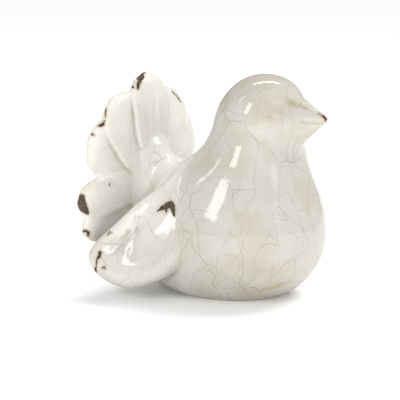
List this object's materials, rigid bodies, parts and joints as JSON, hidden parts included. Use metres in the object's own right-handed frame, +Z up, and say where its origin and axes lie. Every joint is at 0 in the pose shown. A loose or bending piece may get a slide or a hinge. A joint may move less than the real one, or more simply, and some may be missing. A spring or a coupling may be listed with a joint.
{
  "type": "bird statue",
  "caption": "Small glazed pottery dove with an upright fan tail and folded wings, cast in one piece, that stands on its flat foot.",
  "frame": {"origin": "on the flat underside of the foot, under the widest slice of the breast, on the surface that the bird stands on", "axes": "+Z up, +X forward along the beak, +Y to the bird's left"},
  "size_m": [0.0961, 0.0936, 0.0937],
  "materials": {
    "crackle_glaze": "glossy cream-white glaze with a fine grey-brown crackle, worn through to a dark brown body at chips on the rims"
  },
  "bodies": {
    "root": {"bird": "crackle_glaze"}
  },
  "joints": []
}
